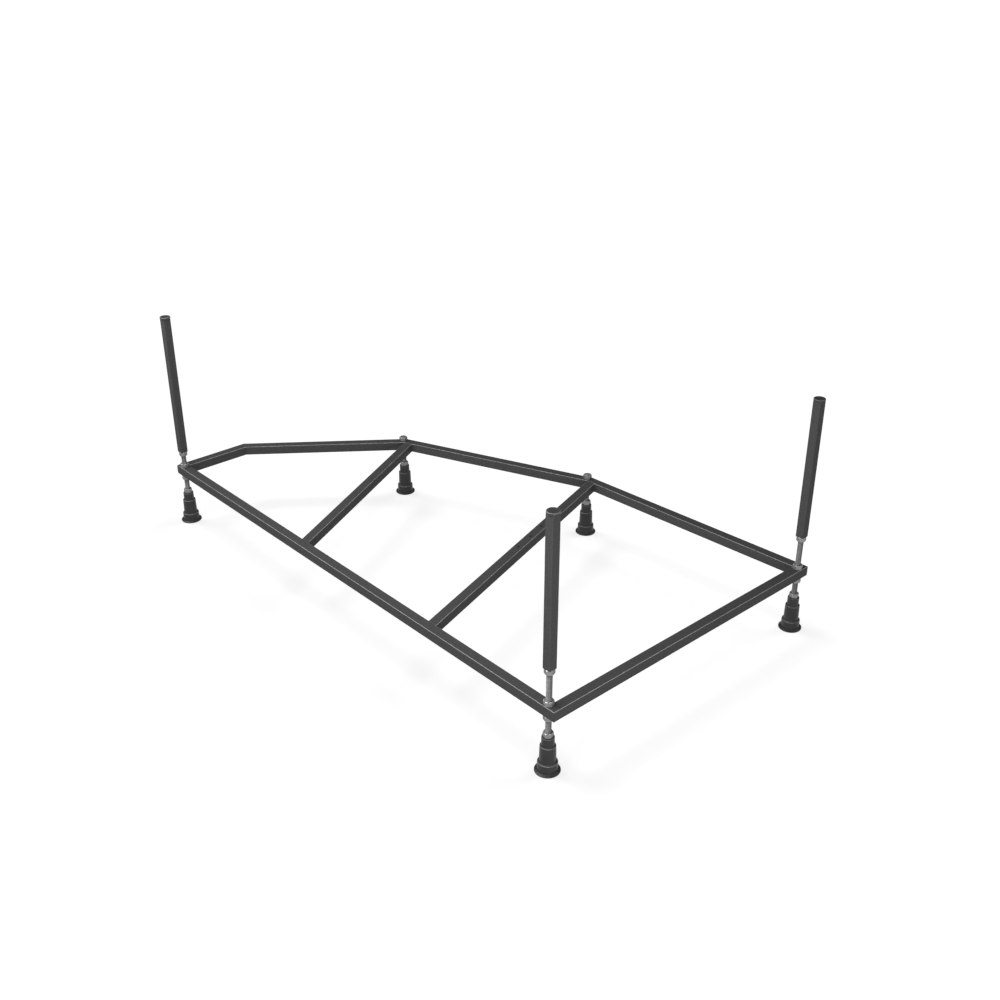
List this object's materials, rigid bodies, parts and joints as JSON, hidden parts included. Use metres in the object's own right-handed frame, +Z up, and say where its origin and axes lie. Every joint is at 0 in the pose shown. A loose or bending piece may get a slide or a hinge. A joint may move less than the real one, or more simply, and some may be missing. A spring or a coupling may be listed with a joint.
{
  "type": "bath support frame",
  "caption": "Welded square-tube support frame for an asymmetric corner bath, with threaded levelling legs on stepped feet and capped rim posts that screw up and down.",
  "frame": {"origin": "on the floor, under the middle of the footprint", "axes": "+X along the long bar towards the front corner, +Y from the long bar towards the back bars, +Z up"},
  "size_m": [1.3582, 0.7664, 0.535],
  "materials": {
    "coated_steel": "satin graphite powder coat",
    "zinc_steel": "zinc plated",
    "foot_plastic": "moulded black",
    "cap_plastic": "moulded black"
  },
  "bodies": {
    "frame": {"long_bar": "coated_steel", "wide_end_bar": "coated_steel", "back_bar_right": "coated_steel", "back_bar_middle": "coated_steel", "back_bar_left": "coated_steel", "narrow_end_bar": "coated_steel", "cross_bar_left": "coated_steel", "cross_bar_right": "coated_steel"},
    "front_rod": {"front_rod": "zinc_steel"},
    "front_upper_nut": {"front_upper_nut": "zinc_steel"},
    "front_lower_nut": {"front_lower_nut": "zinc_steel"},
    "front_foot": {"front_foot": "foot_plastic"},
    "front_foot_nut": {"front_foot_nut": "zinc_steel"},
    "front_post_cap": {"front_post_cap": "cap_plastic"},
    "front_post": {"front_post": "coated_steel", "front_post_nut": "zinc_steel"},
    "left_rod": {"left_rod": "zinc_steel"},
    "left_upper_nut": {"left_upper_nut": "zinc_steel"},
    "left_lower_nut": {"left_lower_nut": "zinc_steel"},
    "left_foot": {"left_foot": "foot_plastic"},
    "left_foot_nut": {"left_foot_nut": "zinc_steel"},
    "left_post_cap": {"left_post_cap": "cap_plastic"},
    "left_post": {"left_post": "coated_steel", "left_post_nut": "zinc_steel"},
    "right_rod": {"right_rod": "zinc_steel"},
    "right_upper_nut": {"right_upper_nut": "zinc_steel"},
    "right_lower_nut": {"right_lower_nut": "zinc_steel"},
    "right_foot": {"right_foot": "foot_plastic"},
    "right_foot_nut": {"right_foot_nut": "zinc_steel"},
    "right_post_cap": {"right_post_cap": "cap_plastic"},
    "right_post": {"right_post": "coated_steel", "right_post_nut": "zinc_steel"},
    "back_right_rod": {"back_right_rod": "zinc_steel"},
    "back_right_upper_nut": {"back_right_upper_nut": "zinc_steel"},
    "back_right_lower_nut": {"back_right_lower_nut": "zinc_steel"},
    "back_right_foot": {"back_right_foot": "foot_plastic"},
    "back_right_foot_nut": {"back_right_foot_nut": "zinc_steel"},
    "back_left_rod": {"back_left_rod": "zinc_steel"},
    "back_left_upper_nut": {"back_left_upper_nut": "zinc_steel"},
    "back_left_lower_nut": {"back_left_lower_nut": "zinc_steel"},
    "back_left_foot": {"back_left_foot": "foot_plastic"},
    "back_left_foot_nut": {"back_left_foot_nut": "zinc_steel"}
  },
  "joints": [
    {"name": "front_rod_height", "type": "slide", "parent": "frame", "child": "front_rod", "axis": [0, 0, 1], "range_m": [-0.028, 0.014]},
    {"name": "front_upper_nut_turn", "type": "hinge", "parent": "frame", "child": "front_upper_nut", "pos_m": [0.6411, -0.3586, 0.147], "axis": [0, 0, 1], "range_deg": [-2880.5, 5760.5]},
    {"name": "front_lower_nut_turn", "type": "hinge", "parent": "frame", "child": "front_lower_nut", "pos_m": [0.6411, -0.3586, 0.147], "axis": [0, 0, 1], "range_deg": [-2880.5, 5760.5]},
    {"name": "front_foot_height", "type": "slide", "parent": "front_rod", "child": "front_foot", "axis": [0, 0, 1], "range_m": [-0.0245, 0.01225]},
    {"name": "front_foot_nut_turn", "type": "hinge", "parent": "front_foot", "child": "front_foot_nut", "pos_m": [0.6411, -0.3586, 0.077], "axis": [0, 0, 1], "range_deg": [-5040.5, 2520.5]},
    {"name": "front_post_height", "type": "slide", "parent": "front_rod", "child": "front_post_cap", "axis": [0, 0, 1], "range_m": [-0.0245, 0.0385]},
    {"name": "front_post_turn", "type": "hinge", "parent": "front_post_cap", "child": "front_post", "pos_m": [0.6411, -0.3586, 0.53], "axis": [0, 0, 1], "range_deg": [-5040.5, 7920.5]},
    {"name": "left_rod_height", "type": "slide", "parent": "frame", "child": "left_rod", "axis": [0, 0, 1], "range_m": [-0.0105, 0.014]},
    {"name": "left_upper_nut_turn", "type": "hinge", "parent": "frame", "child": "left_upper_nut", "pos_m": [-0.6545, -0.3586, 0.147], "axis": [0, 0, 1], "range_deg": [-2880.5, 2160.5]},
    {"name": "left_lower_nut_turn", "type": "hinge", "parent": "frame", "child": "left_lower_nut", "pos_m": [-0.6545, -0.3586, 0.147], "axis": [0, 0, 1], "range_deg": [-2880.5, 2160.5]},
    {"name": "left_foot_height", "type": "slide", "parent": "left_rod", "child": "left_foot", "axis": [0, 0, 1], "range_m": [-0.0245, 0.01225]},
    {"name": "left_foot_nut_turn", "type": "hinge", "parent": "left_foot", "child": "left_foot_nut", "pos_m": [-0.6545, -0.3586, 0.077], "axis": [0, 0, 1], "range_deg": [-5040.5, 2520.5]},
    {"name": "left_post_height", "type": "slide", "parent": "left_rod", "child": "left_post_cap", "axis": [0, 0, 1], "range_m": [-0.0105, 0.0385]},
    {"name": "left_post_turn", "type": "hinge", "parent": "left_post_cap", "child": "left_post", "pos_m": [-0.6545, -0.3586, 0.53], "axis": [0, 0, 1], "range_deg": [-2160.5, 7920.5]},
    {"name": "right_rod_height", "type": "slide", "parent": "frame", "child": "right_rod", "axis": [0, 0, 1], "range_m": [-0.028, 0.014]},
    {"name": "right_upper_nut_turn", "type": "hinge", "parent": "frame", "child": "right_upper_nut", "pos_m": [0.6545, 0.3586, 0.147], "axis": [0, 0, 1], "range_deg": [-2880.5, 5760.5]},
    {"name": "right_lower_nut_turn", "type": "hinge", "parent": "frame", "child": "right_lower_nut", "pos_m": [0.6545, 0.3586, 0.147], "axis": [0, 0, 1], "range_deg": [-2880.5, 5760.5]},
    {"name": "right_foot_height", "type": "slide", "parent": "right_rod", "child": "right_foot", "axis": [0, 0, 1], "range_m": [-0.0245, 0.01225]},
    {"name": "right_foot_nut_turn", "type": "hinge", "parent": "right_foot", "child": "right_foot_nut", "pos_m": [0.6545, 0.3586, 0.077], "axis": [0, 0, 1], "range_deg": [-5040.5, 2520.5]},
    {"name": "right_post_height", "type": "slide", "parent": "right_rod", "child": "right_post_cap", "axis": [0, 0, 1], "range_m": [-0.0245, 0.0385]},
    {"name": "right_post_turn", "type": "hinge", "parent": "right_post_cap", "child": "right_post", "pos_m": [0.6545, 0.3586, 0.53], "axis": [0, 0, 1], "range_deg": [-5040.5, 7920.5]},
    {"name": "back_right_rod_height", "type": "slide", "parent": "frame", "child": "back_right_rod", "axis": [0, 0, 1], "range_m": [0, 0.014]},
    {"name": "back_right_upper_nut_turn", "type": "hinge", "parent": "frame", "child": "back_right_upper_nut", "pos_m": [0.0581, 0.3358, 0.147], "axis": [0, 0, 1], "range_deg": [-2880.5, 0.5]},
    {"name": "back_right_lower_nut_turn", "type": "hinge", "parent": "frame", "child": "back_right_lower_nut", "pos_m": [0.0581, 0.3358, 0.147], "axis": [0, 0, 1], "range_deg": [-2880.5, 0.5]},
    {"name": "back_right_foot_height", "type": "slide", "parent": "back_right_rod", "child": "back_right_foot", "axis": [0, 0, 1], "range_m": [-0.0245, 0.01225]},
    {"name": "back_right_foot_nut_turn", "type": "hinge", "parent": "back_right_foot", "child": "back_right_foot_nut", "pos_m": [0.0581, 0.3358, 0.077], "axis": [0, 0, 1], "range_deg": [-5040.5, 2520.5]},
    {"name": "back_left_rod_height", "type": "slide", "parent": "frame", "child": "back_left_rod", "axis": [0, 0, 1], "range_m": [0, 0.014]},
    {"name": "back_left_upper_nut_turn", "type": "hinge", "parent": "frame", "child": "back_left_upper_nut", "pos_m": [-0.416, 0.1402, 0.147], "axis": [0, 0, 1], "range_deg": [-2880.5, 0.5]},
    {"name": "back_left_lower_nut_turn", "type": "hinge", "parent": "frame", "child": "back_left_lower_nut", "pos_m": [-0.416, 0.1402, 0.147], "axis": [0, 0, 1], "range_deg": [-2880.5, 0.5]},
    {"name": "back_left_foot_height", "type": "slide", "parent": "back_left_rod", "child": "back_left_foot", "axis": [0, 0, 1], "range_m": [-0.0245, 0.01225]},
    {"name": "back_left_foot_nut_turn", "type": "hinge", "parent": "back_left_foot", "child": "back_left_foot_nut", "pos_m": [-0.416, 0.1402, 0.077], "axis": [0, 0, 1], "range_deg": [-5040.5, 2520.5]}
  ],
  "couplings": [
    {"joint": "front_upper_nut_turn", "follows": "front_rod_height", "rad_per_m": -3590.4},
    {"joint": "front_lower_nut_turn", "follows": "front_rod_height", "rad_per_m": -3590.4},
    {"joint": "front_foot_nut_turn", "follows": "front_foot_height", "rad_per_m": 3590.4},
    {"joint": "front_post_turn", "follows": "front_post_height", "rad_per_m": 3590.4},
    {"joint": "left_upper_nut_turn", "follows": "left_rod_height", "rad_per_m": -3590.4},
    {"joint": "left_lower_nut_turn", "follows": "left_rod_height", "rad_per_m": -3590.4},
    {"joint": "left_foot_nut_turn", "follows": "left_foot_height", "rad_per_m": 3590.4},
    {"joint": "left_post_turn", "follows": "left_post_height", "rad_per_m": 3590.4},
    {"joint": "right_upper_nut_turn", "follows": "right_rod_height", "rad_per_m": -3590.4},
    {"joint": "right_lower_nut_turn", "follows": "right_rod_height", "rad_per_m": -3590.4},
    {"joint": "right_foot_nut_turn", "follows": "right_foot_height", "rad_per_m": 3590.4},
    {"joint": "right_post_turn", "follows": "right_post_height", "rad_per_m": 3590.4},
    {"joint": "back_right_upper_nut_turn", "follows": "back_right_rod_height", "rad_per_m": -3590.4},
    {"joint": "back_right_lower_nut_turn", "follows": "back_right_rod_height", "rad_per_m": -3590.4},
    {"joint": "back_right_foot_nut_turn", "follows": "back_right_foot_height", "rad_per_m": 3590.4},
    {"joint": "back_left_upper_nut_turn", "follows": "back_left_rod_height", "rad_per_m": -3590.4},
    {"joint": "back_left_lower_nut_turn", "follows": "back_left_rod_height", "rad_per_m": -3590.4},
    {"joint": "back_left_foot_nut_turn", "follows": "back_left_foot_height", "rad_per_m": 3590.4}
  ]
}
